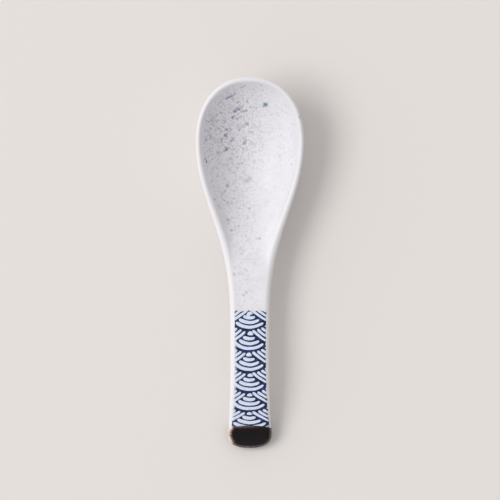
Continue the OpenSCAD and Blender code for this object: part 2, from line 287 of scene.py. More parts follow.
def add_node(tree, kind, inputs=None, **settings):
    """Adds a node, makes its settings, and fills its inputs with values or links."""
    node = tree.nodes.new(kind)
    for key, value in settings.items():
        setattr(node, key, value)
    for socket, value in (inputs or {}).items():
        if isinstance(value, bpy.types.NodeSocket):
            tree.links.new(value, node.inputs[socket])
        else:
            node.inputs[socket].default_value = value
    return node


def new_finish(name):
    """A material with its tree, its main shader and the object's own coordinates."""
    material = bpy.data.materials.new(name)
    material.use_nodes = True
    tree = material.node_tree
    shader = tree.nodes["Principled BSDF"]
    place = add_node(tree, "ShaderNodeTexCoord").outputs["Object"]
    return material, tree, shader, place


# Bare stoneware: buff clay fired without glaze, dry and matt, with grit of about half a millimetre
# and slow changes of tone from the kiln.
KILN_TONE_L, GRIT_STEP, GRAIN_L, GRAIN_H = 6.0, 0.9, 0.5, 0.06
clay_finish, tree, shader, place = new_finish("bare_fired_stoneware")
shader.inputs["Roughness"].default_value = 0.85
shader.inputs["IOR"].default_value = 1.5
tone = add_node(tree, "ShaderNodeTexNoise", {
    "Vector": place, "Scale": 1 / (KILN_TONE_L * MM), "Detail": 4.0})
tones = add_node(tree, "ShaderNodeMix", {
    "Factor": tone.outputs["Fac"], "A": linear("#cdbfa9"), "B": linear("#b39e84")}, data_type="RGBA")
grit = add_node(tree, "ShaderNodeTexVoronoi", {"Vector": place, "Scale": 1 / (GRIT_STEP * MM)})
grit_mark = add_node(tree, "ShaderNodeMapRange", {
    "Value": grit.outputs["Distance"], "From Min": 0.12, "From Max": 0.3, "To Min": 0.45, "To Max": 0.0})
gritty = add_node(tree, "ShaderNodeMix", {
    "Factor": grit_mark.outputs["Result"], "A": tones.outputs["Result"], "B": linear("#6f5d4c")},
    data_type="RGBA")
tree.links.new(gritty.outputs["Result"], shader.inputs["Base Color"])
grain = add_node(tree, "ShaderNodeTexNoise", {
    "Vector": place, "Scale": 1 / (GRAIN_L * MM), "Detail": 3.0})
bump = add_node(tree, "ShaderNodeBump", {
    "Height": grain.outputs["Fac"], "Strength": 0.5, "Distance": GRAIN_H * MM})
tree.links.new(bump.outputs["Normal"], shader.inputs["Normal"])

# Steps of a row over the inside, the rim, the underside and its flat strip, and counts of rows
CLAY_STEPS = (14, 8, 14, 8)
CLAY_LIP_ROWS, CLAY_SWING_ROWS, CLAY_REAR_ROWS, CLAY_END_ROWS = 40, 16, 80, 14
# The pad under the foot: shares of its reach from the edge to the middle, and heights there
PAD_SHARES = (1.0, 0.99, 0.965, 0.93, 0.7, 0.4, 0.2, 0.0)
PAD_HEIGHTS = (0.35, 0.14, 0.03, 0.0, 0.0, 0.0, 0.0, 0.0)
foot_rows = np.concatenate([
    lip_rows(CLAY_LIP_ROWS),
    stretch(WIDEST_BACK, BLEND_BACK, CLAY_SWING_ROWS),
    cross_rows(np.array([BLEND_BACK, FOOT_REAR]))])
rear_rows = np.concatenate([stretch(FOOT_REAR, END_BACK, CLAY_REAR_ROWS), end_rows(CLAY_END_ROWS, GLAZE_T)])
pad = skin(foot_rows, GLAZE_T, CLAY_STEPS)
pad_edge = sum(CLAY_STEPS[:3])
pad_middle = pad[:, -1:, :2]
pad_reach = pad[:, pad_edge:pad_edge + 1, :2] - pad_middle
pad[:, pad_edge + 1:, :2] = pad_middle + pad_reach * np.array(PAD_SHARES)[None, :, None]
pad[:, pad_edge + 1:, 2] = PAD_HEIGHTS
clay_points = np.concatenate([pad, skin(rear_rows, GLAZE_T, CLAY_STEPS)])
every_quad, unmarked = np.ones(clay_points.shape[:2], bool), np.zeros(clay_points.shape[:2])
clay = piece_of("clay_piece", [(clay_points, every_quad, unmarked, unmarked)], clay_finish)
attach(clay, "root")
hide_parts("clay_body")


# White glaze: a satin coat less than half a millimetre thick, poured over the biscuit-fired clay.
# It covers everything but the foot, where it ends in a round roll, and runs on a little way
# under the dark glaze at the end.
DIP_L = 9.7  # stretch that is dipped in the dark glaze
DIP_BACK = SPOON_L - DIP_L
COAT_SHARE = 0.9
COAT_T = COAT_SHARE * GLAZE_T  # the coat stops a hair short of the clay
ROLL_L, TUCK_L = 0.9, 1.0  # round edges at the foot and under the dark glaze
TUCK_SHARES = (0.0, 0.4, 0.7, 0.9, 1.0)
GLAZE_STEPS = (30, 14, 28, 8)
GLAZE_LIP_ROWS, GLAZE_SWING_ROWS, GLAZE_FOOT_ROWS, GLAZE_ROLL_ROWS, GLAZE_REAR_ROWS = 64, 28, 3, 8, 120
FAR = 1e3  # further than any edge
glaze_rows = np.concatenate([
    lip_rows(GLAZE_LIP_ROWS),
    stretch(WIDEST_BACK, BLEND_BACK, GLAZE_SWING_ROWS),
    stretch(BLEND_BACK, FOOT_REAR, GLAZE_FOOT_ROWS),
    stretch(FOOT_REAR, FOOT_REAR + 2 * ROLL_L, GLAZE_ROLL_ROWS),
    stretch(FOOT_REAR + 2 * ROLL_L, DIP_BACK, GLAZE_REAR_ROWS),
    cross_rows(DIP_BACK + TUCK_L * np.array(TUCK_SHARES))])
glaze_edge = sum(GLAZE_STEPS[:3])
foot_end = int(np.argmin(np.abs(glaze_rows[:, 0] - FOOT_REAR)))


def roll_off(distance, length):
    """How far a rounded edge has sunk, from 1 at the edge to 0 a length away from it."""
    return 1 - np.sqrt(1 - (1 - np.clip(distance / length, 0, 1)) ** 2)


coat_outer, coat_inner = skin(glaze_rows, 0, GLAZE_STEPS), skin(glaze_rows, COAT_T, GLAZE_STEPS)
foot_line = np.concatenate([coat_outer[:foot_end + 1, glaze_edge], coat_outer[foot_end, glaze_edge:]])
from_foot = np.full(coat_outer.shape[:2], FAR)
for point in foot_line:
    from_foot = np.minimum(from_foot, np.linalg.norm(coat_outer - point, axis=2))
from_foot[:, :GLAZE_STEPS[0]] = FAR
from_tuck = (DIP_BACK + TUCK_L - glaze_rows[:, 1])[:, None]
sunk = np.maximum(roll_off(from_foot, ROLL_L), roll_off(from_tuck, TUCK_L))
coat_outer = coat_outer + (coat_inner - coat_outer) * sunk[:, :, None]
glazed = np.ones(coat_outer.shape[:2], bool)
glazed[:foot_end, glaze_edge:] = False

# Satin white glaze: a lavender white, clouded over a few millimetres and clean along the rim, with
# fine grey-lilac specks under the surface and grey, blue and teal flecks that bled through. Half matt.
CLOUD_L, RIPPLE_L, RIPPLE_H = 5.0, 1.6, 0.04
RAGGED_L, RAGGED_BY = 0.8, 0.5  # how specks and flecks lose their round outline
glaze_finish, tree, shader, place = new_finish("satin_white_glaze")
shader.inputs["Roughness"].default_value = 0.5
shader.inputs["IOR"].default_value = 1.5
cloud = add_node(tree, "ShaderNodeTexNoise", {"Vector": place, "Scale": 1 / (CLOUD_L * MM), "Detail": 3.0})
ground = add_node(tree, "ShaderNodeMix", {
    "Factor": cloud.outputs["Fac"], "A": linear("#e2dfe5"), "B": linear("#f2f0f3")}, data_type="RGBA")
# The mark over_rim is 0 inside the spoon, 1 along its rim and 2 outside
over_rim = add_node(tree, "ShaderNodeAttribute", attribute_name="over_rim").outputs["Fac"]
from_rim = add_node(tree, "ShaderNodeMath", {0: over_rim, 1: 1.0}, operation="SUBTRACT")
off_rim = add_node(tree, "ShaderNodeMath", {0: from_rim.outputs["Value"]}, operation="ABSOLUTE")
outside = add_node(tree, "ShaderNodeMapRange", {"Value": over_rim, "From Min": 1.0, "From Max": 2.0})
colour = add_node(tree, "ShaderNodeMix", {
    "Factor": off_rim.outputs["Value"], "A": linear("#e7e5e8"), "B": ground.outputs["Result"]},
    data_type="RGBA").outputs["Result"]
bent = add_node(tree, "ShaderNodeTexNoise", {"Vector": place, "Scale": 1 / (RAGGED_L * MM), "Detail": 2.0})
shift = add_node(tree, "ShaderNodeVectorMath", {
    0: bent.outputs["Color"], 1: (0.5, 0.5, 0.5)}, operation="SUBTRACT")
ragged = add_node(tree, "ShaderNodeVectorMath", {
    0: shift.outputs["Vector"], 1: (RAGGED_BY * MM,) * 3, 2: place}, operation="MULTIPLY_ADD")

# Specks are thick on the left of the bowl and towards the lip, and thin on the right and the neck.
# The thick specks on the left also paint shade there, darkening the inner wall that faces away from the
# light.
LEFT_X, RIGHT_X = -8.0, 11.0
FLOOR_Y, LIP_Y = -4.0, 16.0
NECK_Y, BOWL_Y = -50.0, -15.0
OUTSIDE_SPECKS = 0.6
at = add_node(tree, "ShaderNodeSeparateXYZ", {"Vector": place})
# Painted shade: more and darker specks on the left of the bowl, where its inner wall lies in shade
specks_and_shade_to_left = add_node(tree, "ShaderNodeMapRange", {
    "Value": at.outputs["X"], "From Min": LEFT_X * MM, "From Max": RIGHT_X * MM, "To Min": 0.95,
    "To Max": 0.28}, interpolation_type="SMOOTHSTEP")
to_lip = add_node(tree, "ShaderNodeMapRange", {
    "Value": at.outputs["Y"], "From Min": FLOOR_Y * MM, "From Max": LIP_Y * MM, "To Min": 0.68,
    "To Max": 1.12}, interpolation_type="SMOOTHSTEP")
off_neck = add_node(tree, "ShaderNodeMapRange", {
    "Value": at.outputs["Y"], "From Min": NECK_Y * MM, "From Max": BOWL_Y * MM, "To Min": 0.55,
    "To Max": 1.0})
along = add_node(tree, "ShaderNodeMath", {
    0: to_lip.outputs["Result"], 1: off_neck.outputs["Result"]}, operation="MULTIPLY")
inside = add_node(tree, "ShaderNodeMath", {
    0: specks_and_shade_to_left.outputs["Result"], 1: along.outputs["Value"]}, operation="MULTIPLY")
all_round = add_node(tree, "ShaderNodeMix", {
    "Factor": outside.outputs["Result"], "A": inside.outputs["Value"], "B": OUTSIDE_SPECKS})
scatter = add_node(tree, "ShaderNodeMath", {
    0: all_round.outputs["Result"], 1: off_rim.outputs["Value"]}, operation="MULTIPLY")
# Layers of specks: length of a grain, the noise at which it begins and is full, strength and colour
SPECKS = (
    (0.5, 0.5, 0.72, 0.42, "#8b8391"), (0.9, 0.55, 0.69, 0.5, "#8a8496"),
    (1.6, 0.58, 0.72, 0.5, "#7a7d96"), (2.6, 0.52, 0.72, 0.34, "#938b9c"))
for length, begins, full, strength, code in SPECKS:
    grains = add_node(tree, "ShaderNodeTexNoise", {
        "Vector": ragged.outputs["Vector"], "Scale": 1 / (length * MM), "Detail": 1.5})
    speck = add_node(tree, "ShaderNodeMapRange", {
        "Value": grains.outputs["Fac"], "From Min": begins, "From Max": full, "To Min": 0.0,
        "To Max": strength}, interpolation_type="SMOOTHSTEP")
    scattered = add_node(tree, "ShaderNodeMath", {
        0: speck.outputs["Result"], 1: scatter.outputs["Value"]}, operation="MULTIPLY")
    colour = add_node(tree, "ShaderNodeMix", {
        "Factor": scattered.outputs["Value"], "A": colour, "B": linear(code)},
        data_type="RGBA").outputs["Result"]

# Flecks: millimetres to the right of the middle, back from the lip, radius, and strength
TEAL_FLECKS = (
    (7.3, 12.4, 1.15, 0.92), (6.4, 13.3, 0.7, 0.6), (23.2, 18.6, 0.9, 0.3), (19.2, 40.2, 0.6, 0.35),
    (4.4, 74.4, 0.75, 0.4), (3.2, 74.6, 0.7, 0.2))
BLUE_FLECKS = (
    (-6.8, 15.7, 1.0, 0.75), (-5.3, 14.7, 0.7, 0.65), (-6.1, 15.0, 0.6, 0.5), (-2.9, 15.9, 0.7, 0.55),
    (-3.9, 15.8, 0.6, 0.45), (-1.6, 15.4, 0.65, 0.5), (-8.0, 18.1, 0.8, 0.7), (-7.1, 17.6, 0.6, 0.55),
    (0.3, 13.3, 0.6, 0.5), (-2.5, 30.1, 0.85, 0.6), (-1.9, 29.2, 0.6, 0.45))
GREY_FLECKS = (
    (-10.6, 9.8, 0.65, 0.75), (-9.6, 9.3, 0.65, 0.8), (-8.6, 8.7, 0.6, 0.75), (-2.5, 4.3, 0.7, 0.55),
    (-3.5, 4.5, 0.6, 0.45), (5.4, 3.8, 0.6, 0.5), (6.0, 6.2, 0.55, 0.4), (-1.5, 21.3, 0.75, 0.5),
    (-4.8, 24.1, 0.65, 0.5), (-10.6, 24.1, 0.75, 0.7), (-11.3, 26.6, 0.8, 0.8), (-13.1, 28.7, 0.65, 0.6),
    (-8.5, 29.2, 0.6, 0.45), (-10.8, 33.1, 0.8, 0.75), (-11.8, 33.9, 0.6, 0.55), (-20.0, 38.9, 0.75, 0.95),
    (-20.3, 37.6, 0.6, 0.8), (-1.1, 47.6, 1.1, 0.3), (-0.2, 46.4, 0.9, 0.28), (-10.3, 49.9, 0.95, 0.45),
    (-16.3, 56.4, 0.7, 0.55), (-14.5, 59.4, 0.6, 0.5), (-10.1, 57.8, 0.6, 0.45), (-0.3, 60.5, 0.6, 0.35),
    (-10.3, 65.8, 0.7, 0.5), (-8.5, 70.7, 0.65, 0.5), (-5.2, 68.6, 0.55, 0.35),
    (-7.1, 91.0, 0.7, 0.3), (-2.9, 100.6, 0.6, 0.3), (-1.5, 99.3, 0.6, 0.3))
FLECK_CORE_SHARE, FLECK_EDGE_SHARE = 0.3, 1.6
top_points = coat_outer[:, :GLAZE_STEPS[0] + GLAZE_STEPS[1] // 2].reshape(-1, 3)
for flecks, code in ((GREY_FLECKS, "#656a80"), (BLUE_FLECKS, "#48648a"), (TEAL_FLECKS, "#44708e")):
    flecked = 0.0
    for across, back, radius, strength in flecks:
        plan = np.array([abs(across), FOOT_BACK - back])
        nearest = top_points[np.argmin(np.linalg.norm(top_points[:, :2] - plan, axis=1))]
        spot = (across * MM, plan[1] * MM, nearest[2] * MM)
        away = add_node(tree, "ShaderNodeVectorMath", {
            0: ragged.outputs["Vector"], 1: spot}, operation="DISTANCE")
        fleck = add_node(tree, "ShaderNodeMapRange", {
            "Value": away.outputs["Value"], "From Min": FLECK_CORE_SHARE * radius * MM,
            "From Max": FLECK_EDGE_SHARE * radius * MM, "To Min": strength, "To Max": 0.0},
            interpolation_type="SMOOTHSTEP")
        flecked = add_node(tree, "ShaderNodeMath", {
            0: fleck.outputs["Result"], 1: flecked}, operation="MAXIMUM").outputs["Value"]
    colour = add_node(tree, "ShaderNodeMix", {
        "Factor": flecked, "A": colour, "B": linear(code)}, data_type="RGBA").outputs["Result"]
tree.links.new(colour, shader.inputs["Base Color"])
ripple = add_node(tree, "ShaderNodeTexNoise", {
    "Vector": place, "Scale": 1 / (RIPPLE_L * MM), "Detail": 2.0})
bump = add_node(tree, "ShaderNodeBump", {
    "Height": ripple.outputs["Fac"], "Strength": 0.25, "Distance": RIPPLE_H * MM})
tree.links.new(bump.outputs["Normal"], shader.inputs["Normal"])

# Points of a row at which the clean rim begins and ends, and over which it fades, longer at the neck
RIM_FROM, RIM_TO, RIM_FADE, NECK_FADE = 24, 45, 7, 8
column = np.arange(coat_outer.shape[1])
softer = NECK_FADE * merge(glaze_rows[:, 1:2])
up_to_rim = np.clip((column - RIM_FROM + softer) / (RIM_FADE + softer), 0, 1)
rim_marks = up_to_rim + np.clip((column - RIM_TO) / RIM_FADE, 0, 1)
coat_sheets = [(sheet, glazed, rim_marks, rim_marks) for sheet in (coat_outer, coat_inner)]
glaze = piece_of("glaze_coat", coat_sheets, glaze_finish, "over_rim")
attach(glaze, "root")
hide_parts("white_glaze")


# Wave print: fans of waves on the top of the handle, white bands left free of a wash of cobalt.
# The wash is a thin coat on the glaze, and each band is a brush stroke of glaze with round ends
# that lies on it and runs out over its edge.
PRINT_BACK = 107.8  # start of the print
PRINT_LEFT, PRINT_RIGHT = -6.8, 7.4  # its sides, where the handle is narrowest
SPREAD_POWER = 2.5  # how the print spreads as the handle widens
FANS, BANDS, SIDE_BANDS = 6, 3, 4
FAN_L, FAN_LOSS = 10.3, 0.35  # from one fan to the next, and what each loses against the one before
FIRST_FAN_L, FIRST_FOOT = 9.0, 116.4  # the first fan, which is shorter, and its foot
FAN_SHRINK, FIRST_SHRINK = 0.02, 0.07  # how much flatter each fan is than the one before, and the first is
FAN_R, LINE_STEP = 11.0, 2.32  # outer line of a fan, and from one line to the next
SIDE_R, SIDE_X, SIDE_UP = 45.0, 32.0, 41.5  # first line beside a fan, and its centre from the fan's foot
SIDE_STEP = 1.85  # from one line beside a fan to the next
OUTLINE_W, LINE_W = 0.75, 0.55  # outer line of a fan, and the other lines


def top_height(x, s):
    """Height of the top of the handle."""
    reach, top, low, edge = half_width(s), rim_height(s), floor_height(s), edge_radius(s)
    span, height = inside_curve(reach, top, low, edge)[1:]
    angle = np.arcsin(np.clip(np.abs(x) / span, 0, 1) * np.sin(INSIDE_SWEEP))
    dish = low + height * (1 - np.cos(angle)) / (1 - np.cos(INSIDE_SWEEP))
    shoulder = top - edge + np.sqrt(np.maximum(edge ** 2 - (np.abs(x) - reach + edge) ** 2, 0))
    return np.where(np.abs(x) < span, dish, shoulder)


def spread(s):
    """How much wider the print is than where the handle is narrowest."""
    return (2 * half_width(s) / WAIST_W) ** SPREAD_POWER


def fan_foot(n):
    """Place of the foot of fan n."""
    return FIRST_FOOT + FAN_L * n - FAN_LOSS * n * (n + 1) / 2


def fan_depth(n):
    """Depth of fan n, as a share of a round one's."""
    return 1 - (FAN_SHRINK * n if n else FIRST_SHRINK)


def meets(radius, across, down, other):
    """Angle from straight down at which an arc runs into another circle, whose centre is given."""
    far = math.hypot(across, down)
    share = (radius ** 2 + far ** 2 - other ** 2) / (2 * radius * far)
    return math.atan2(across, down) - math.acos(min(max(share, -1), 1))


LEAST_END = 0.0004  # square of the share of its width to which a stroke's end closes
PALE_L = 0.5  # stretch over which a band clears at the edge of the wash
places, joins, widths, pale = [], [], [], []


def brush_stroke(n, across, down, width, round_from, round_to):
    """Adds a stroke of fan n, with the lengths over which its two ends are rounded."""
    run = np.concatenate([[0], np.cumsum(np.hypot(np.diff(across), np.diff(down)))])
    start, end = np.clip(run / round_from, 0, 1), np.clip((run[-1] - run) / round_to, 0, 1)
    ends = np.sqrt(np.maximum((1 - (1 - start) ** 2) * (1 - (1 - end) ** 2), LEAST_END))
    s = fan_foot(n) + down
    joins.extend((len(places) + k, len(places) + k + 1) for k in range(len(run) - 1))
    places.extend((px * MM, (FOOT_BACK - ps) * MM, 0) for px, ps in zip(across * spread(s), s))
    widths.extend(width * ends * MM)
    past = np.maximum(np.maximum(across - PRINT_RIGHT, PRINT_LEFT - across), PRINT_BACK - s)
    pale.extend(np.clip(past / PALE_L + 1, 0, 1))


# Gaps at the left end of a fan's bands: open bands run past the lines beside them, and the outer
# bands of the first and last fan stay well inside. Then the gap at the right, the rounding of the
# ends, and the taper to the right
OPEN_GAP, CLOSED_GAP, BAND_GAP, RIGHT_GAP = -0.3, 0.8, 0.3, 1.0
OPEN_ROUND, LEFT_ROUND, RIGHT_ROUND = 0.7, 1.4, 1.1
WIDTH_SHARE, TAPER_SHARE, TAPER_POWER = 0.98, 0.3, 1.5
# Bands beside a fan: side, edge of the print, how far they run past it, room at the middle, gap to
# the fan before, shift towards the centre of their lines, and width at the outer and the inner end
SIDES = (
    (-1, -PRINT_LEFT, 0.8, 2.1, 0.9, 0.15, 1.3, 1.1),
    (1, PRINT_RIGHT, 0.15, 1.2, 0.6, 0.0, 0.9, 1.4))
HEAD_GAP, OUTER_ROUND, INNER_ROUND = 0.5, 0.3, 0.9
# The white cap in the middle of a fan, which the hand set a little to the left or right: its top and
# foot lie this far before the fan's foot, and the sway turns by these radians from fan to fan
CAP_W, CAP_TOP, CAP_FOOT, CAP_ROUND = 2.8, 9.5, 7.4, 0.45
CAP_SWAY, CAP_TURN = 0.35, 2.4
# A short stroke that ties the first cap to the band below it
TIE_X, TIE_TOP, TIE_L, TIE_W, TIE_ROUND = -0.7, 7.6, 2.4, 1.7, 0.8
STROKE_POINTS = 32
even = (1 - np.cos(np.linspace(0, np.pi, STROKE_POINTS))) / 2
for n in range(FANS):
    pitch = (FAN_L - FAN_LOSS * n if n else FIRST_FAN_L) / FAN_L
    for i in range(BANDS):
        outline = OUTLINE_W if i == 0 else LINE_W
        width = LINE_STEP - (outline + LINE_W) / 2
        radius = FAN_R - LINE_STEP * i - (outline + width) / 2
        widest = meets(radius, SIDE_X, FAN_R - SIDE_UP, SIDE_R)
        open_left = i == 0 and 0 < n < FANS - 1
        left_gap = OPEN_GAP if open_left else CLOSED_GAP if i == 0 else BAND_GAP
        from_a = -widest + left_gap / radius
        a = from_a + (widest - RIGHT_GAP / radius - from_a) * even
        brush_stroke(n, radius * np.sin(a), (radius * np.cos(a) - FAN_R) * fan_depth(n),
                     width * (WIDTH_SHARE - TAPER_SHARE * even ** TAPER_POWER),
                     OPEN_ROUND if open_left else LEFT_ROUND, RIGHT_ROUND)
    for side, print_edge, overrun, room, gap, inwards, outer_w, inner_w in SIDES:
        for i in range(SIDE_BANDS):
            radius = SIDE_R - SIDE_STEP * (i + 0.5) - inwards
            outer_a = math.asin((SIDE_X - (print_edge + overrun)) / radius)
            head_a = math.acos((SIDE_UP - FAN_L - HEAD_GAP) / radius)
            last_a = meets(radius, SIDE_X, SIDE_UP - FAN_R - FAN_L, FAN_R) - gap / radius
            inner_a = head_a if n == 0 else min(last_a, math.asin((SIDE_X - room) / radius))
            if (inner_a - outer_a) * radius > outer_w / 2:
                a = outer_a + (inner_a - outer_a) * even
                brush_stroke(n, side * (SIDE_X - radius * np.sin(a)), (radius * np.cos(a) - SIDE_UP) * pitch,
                             outer_w + (inner_w - outer_w) * even, OUTER_ROUND, INNER_ROUND)
    cap_top, cap_foot = CAP_TOP * pitch, CAP_FOOT * fan_depth(n)
    cap_x = np.full(STROKE_POINTS, CAP_SWAY * math.sin(CAP_TURN * n))
    brush_stroke(n, cap_x, -cap_top + (cap_top - cap_foot) * even, CAP_W, cap_top - cap_foot, CAP_ROUND)
brush_stroke(0, np.full(STROKE_POINTS, TIE_X), -TIE_TOP + TIE_L * even, TIE_W, TIE_ROUND, TIE_ROUND)

# Blue-tinged white: the same satin white where cobalt has bled into it, clearer where a band runs
# out over the edge of the wash.
BLEED_L = 1.5
CLEAR_WHITE = "#e4e2ea"
band_finish, tree, shader, place = new_finish("blue_tinged_white_glaze")
shader.inputs["Roughness"].default_value = 0.4
clear = add_node(tree, "ShaderNodeAttribute", attribute_name="pale")
bleed = add_node(tree, "ShaderNodeTexNoise", {"Vector": place, "Scale": 1 / (BLEED_L * MM), "Detail": 2.0})
tinge = add_node(tree, "ShaderNodeMix", {
    "Factor": bleed.outputs["Fac"], "A": linear("#c3d0f0"), "B": linear("#ecf1fc")}, data_type="RGBA")
whites = add_node(tree, "ShaderNodeMix", {
    "Factor": clear.outputs["Fac"], "A": tinge.outputs["Result"], "B": linear(CLEAR_WHITE)},
    data_type="RGBA")
tree.links.new(whites.outputs["Result"], shader.inputs["Base Color"])

# Cobalt wash: ink-blue, fired into the glaze, nearly black-blue where it lies thick and brighter where
# the brush left it thin, with a soft sheen.
POOL_L, DRAG_L = 2.2, 1.1
wash_finish, tree, shader, place = new_finish("cobalt_wash_under_glaze")
shader.inputs["Roughness"].default_value = 0.35
pooled = add_node(tree, "ShaderNodeTexNoise", {"Vector": place, "Scale": 1 / (POOL_L * MM), "Detail": 3.0})
thinned = add_node(tree, "ShaderNodeMapRange", {
    "Value": pooled.outputs["Fac"], "From Min": 0.35, "From Max": 0.65})
blues = add_node(tree, "ShaderNodeMix", {
    "Factor": thinned.outputs["Result"], "A": linear("#16284d"), "B": linear("#325292")}, data_type="RGBA")
worn = add_node(tree, "ShaderNodeAttribute", attribute_name="worn")
drag = add_node(tree, "ShaderNodeTexNoise", {"Vector": place, "Scale": 1 / (DRAG_L * MM), "Detail": 2.0})
gone = add_node(tree, "ShaderNodeMath", {0: worn.outputs["Fac"], 1: drag.outputs["Fac"]}, operation="ADD")
bare = add_node(tree, "ShaderNodeMapRange", {
    "Value": gone.outputs["Value"], "From Min": 0.95, "From Max": 1.2})
strokes = add_node(tree, "ShaderNodeMix", {
    "Factor": bare.outputs["Result"], "A": blues.outputs["Result"], "B": linear(CLEAR_WHITE)},
    data_type="RGBA")
tree.links.new(strokes.outputs["Result"], shader.inputs["Base Color"])

ACROSS_POINTS, ALONG_POINTS = 60, 170
WASH_T, WASH_LIFT = 0.05, 0.015  # thickness of the wash, and how far its sheet lies above the glaze
WASH_TUCK = 0.3  # how far the wash runs on under the dark glaze
# Waver of the wash's sides and of its head, as the brush left them: sizes in millimetres, then
# radians over the wash's length or half its width, and radians of phase
SIDE_WAVER, SIDE_RADIANS, SIDE_SWAY, SWAY_RADIANS = 0.12, 61, 1.5, 23
SIDE_TREMBLE, TREMBLE_RADIANS, TREMBLE_PHASE = 0.08, 140, 2
HEAD_WAVER, HEAD_RADIANS = 0.2, 9
HEAD_TREMBLE, HEAD_TREMBLE_RADIANS, HEAD_TREMBLE_PHASE = 0.1, 23, 1
u, v = np.meshgrid(np.linspace(-1, 1, ACROSS_POINTS), np.linspace(0, 1, ALONG_POINTS))
waver = (SIDE_WAVER * np.sin(v * SIDE_RADIANS + SIDE_SWAY * np.sin(v * SWAY_RADIANS))
         + SIDE_TREMBLE * np.sin(v * TREMBLE_RADIANS + TREMBLE_PHASE))
head = (PRINT_BACK + HEAD_WAVER * np.sin(u * HEAD_RADIANS)
        + HEAD_TREMBLE * np.sin(u * HEAD_TREMBLE_RADIANS + HEAD_TREMBLE_PHASE))
wash_s = head + v * (DIP_BACK + WASH_TUCK - head)
wash_x = ((PRINT_LEFT + PRINT_RIGHT) / 2 + u * ((PRINT_RIGHT - PRINT_LEFT) / 2 + waver)) * spread(wash_s)
wash_points = np.stack([wash_x, FOOT_BACK - wash_s, top_height(wash_x, wash_s) + WASH_LIFT], 2)
bm = bmesh.new()
grid = [[bm.verts.new(point * MM) for point in row] for row in wash_points]
for k in range(ALONG_POINTS - 1):
    for j in range(ACROSS_POINTS - 1):
        face = bm.faces.new((grid[k + 1][j], grid[k + 1][j + 1], grid[k][j + 1], grid[k][j]))
        face.smooth = True
bmesh.ops.solidify(bm, geom=bm.faces[:], thickness=WASH_T * MM)
wash_mesh = bpy.data.meshes.new("wave_wash")
bm.to_mesh(wash_mesh)
bm.free()

# The wash is worn along its left side, less near its two ends, and it ends at the last fan's outline
WORN_W, LEAST_WORN, WORN_FADE = 1.3, 0.3, 3.0
WORN_FROM, WORN_TO = FIRST_FOOT + 0.5, DIP_BACK - 1.5
LAST_FAN, LAST_FROM = FANS - 1, DIP_BACK - 3.0
LAST_GAP, LAST_FADE = 0.1, 0.3


def within(share):
    """The share, held between 0 and 1."""
    return min(max(share, 0), 1)


def worn_at(x, s):
    """How far the wash has worn off at a point, from 0 to 1."""
    across = x / spread(s)
    kept = max(within(min(WORN_TO - s, s - WORN_FROM) / WORN_FADE), LEAST_WORN)
    from_last = math.hypot(across, (s - fan_foot(LAST_FAN)) / fan_depth(LAST_FAN) + FAN_R) - FAN_R
    past_last = within((from_last - LAST_GAP) / LAST_FADE) if s > LAST_FROM else 0
    return max(kept * within(1 - (across - PRINT_LEFT) / WORN_W), past_last)


worn_values = [worn_at(vertex.co.x / MM, FOOT_BACK - vertex.co.y / MM) for vertex in wash_mesh.vertices]
wash_mesh.attributes.new("worn", "FLOAT", "POINT").data.foreach_set("value", worn_values)
wash_mesh.materials.append(wash_finish)
wash = placed("wave_wash", wash_mesh)
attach(wash, "root")
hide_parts("wave_print")

stroke_mesh = bpy.data.meshes.new("wave_bands")
stroke_mesh.from_pydata(places, joins, [])
stroke_mesh.attributes.new("stroke_width", "FLOAT", "POINT").data.foreach_set("value", widths)
stroke_mesh.attributes.new("pale", "FLOAT", "POINT").data.foreach_set("value", pale)
stroke_lines = placed("wave_band_lines", stroke_mesh)

# The strokes are swept as round tubes along their lines, pressed flat and laid on the glaze below them,
# which is looked for from a height above the whole spoon
ABOVE_ALL = 50.0
TUBE_SIDES = 12
brush = bpy.data.node_groups.new("brush_strokes_on_glaze", "GeometryNodeTree")
brush.interface.new_socket("Geometry", in_out="OUTPUT", socket_type="NodeSocketGeometry")
brush.interface.new_socket("Geometry", in_out="INPUT", socket_type="NodeSocketGeometry")
brush_inputs = (
    ("Glaze", "NodeSocketObject", glaze),
    ("Finish", "NodeSocketMaterial", band_finish),
    ("Wobble", "NodeSocketFloat", 0.22 * MM),
    ("Wobble length", "NodeSocketFloat", 3.5 * MM),
    ("Seed", "NodeSocketFloat", 4.0),
    ("Flatness", "NodeSocketFloat", 0.05),
    ("Lift", "NodeSocketFloat", 0.03 * MM))
for name, kind, value in brush_inputs:
    brush.interface.new_socket(name, in_out="INPUT", socket_type=kind)
given = add_node(brush, "NodeGroupInput").outputs
paths = add_node(brush, "GeometryNodeMeshToCurve", {"Mesh": given["Geometry"]})
here = add_node(brush, "GeometryNodeInputPosition").outputs["Position"]
per_length = add_node(brush, "ShaderNodeMath", {0: 1.0, 1: given["Wobble length"]}, operation="DIVIDE")
drift = add_node(brush, "ShaderNodeTexNoise", {
    "Vector": here, "W": given["Seed"], "Scale": per_length.outputs["Value"], "Detail": 1.0},
    noise_dimensions="4D")
drift_mid = add_node(brush, "ShaderNodeVectorMath", {
    0: drift.outputs["Color"], 1: (0.5, 0.5, 0.5)}, operation="SUBTRACT")
wobble_size = add_node(brush, "ShaderNodeMath", {0: given["Wobble"], 1: 2.0}, operation="MULTIPLY")
wobble = add_node(brush, "ShaderNodeVectorMath", {
    0: drift_mid.outputs["Vector"], "Scale": wobble_size.outputs["Value"]}, operation="SCALE")
wobble_flat = add_node(brush, "ShaderNodeVectorMath", {
    0: wobble.outputs["Vector"], 1: (1, 1, 0)}, operation="MULTIPLY")
drawn = add_node(brush, "GeometryNodeSetPosition", {
    "Geometry": paths.outputs["Curve"], "Offset": wobble_flat.outputs["Vector"]})
width_here = add_node(brush, "GeometryNodeInputNamedAttribute", {"Name": "stroke_width"}, data_type="FLOAT")
tube = add_node(brush, "GeometryNodeCurvePrimitiveCircle", {"Resolution": TUBE_SIDES, "Radius": 0.5})
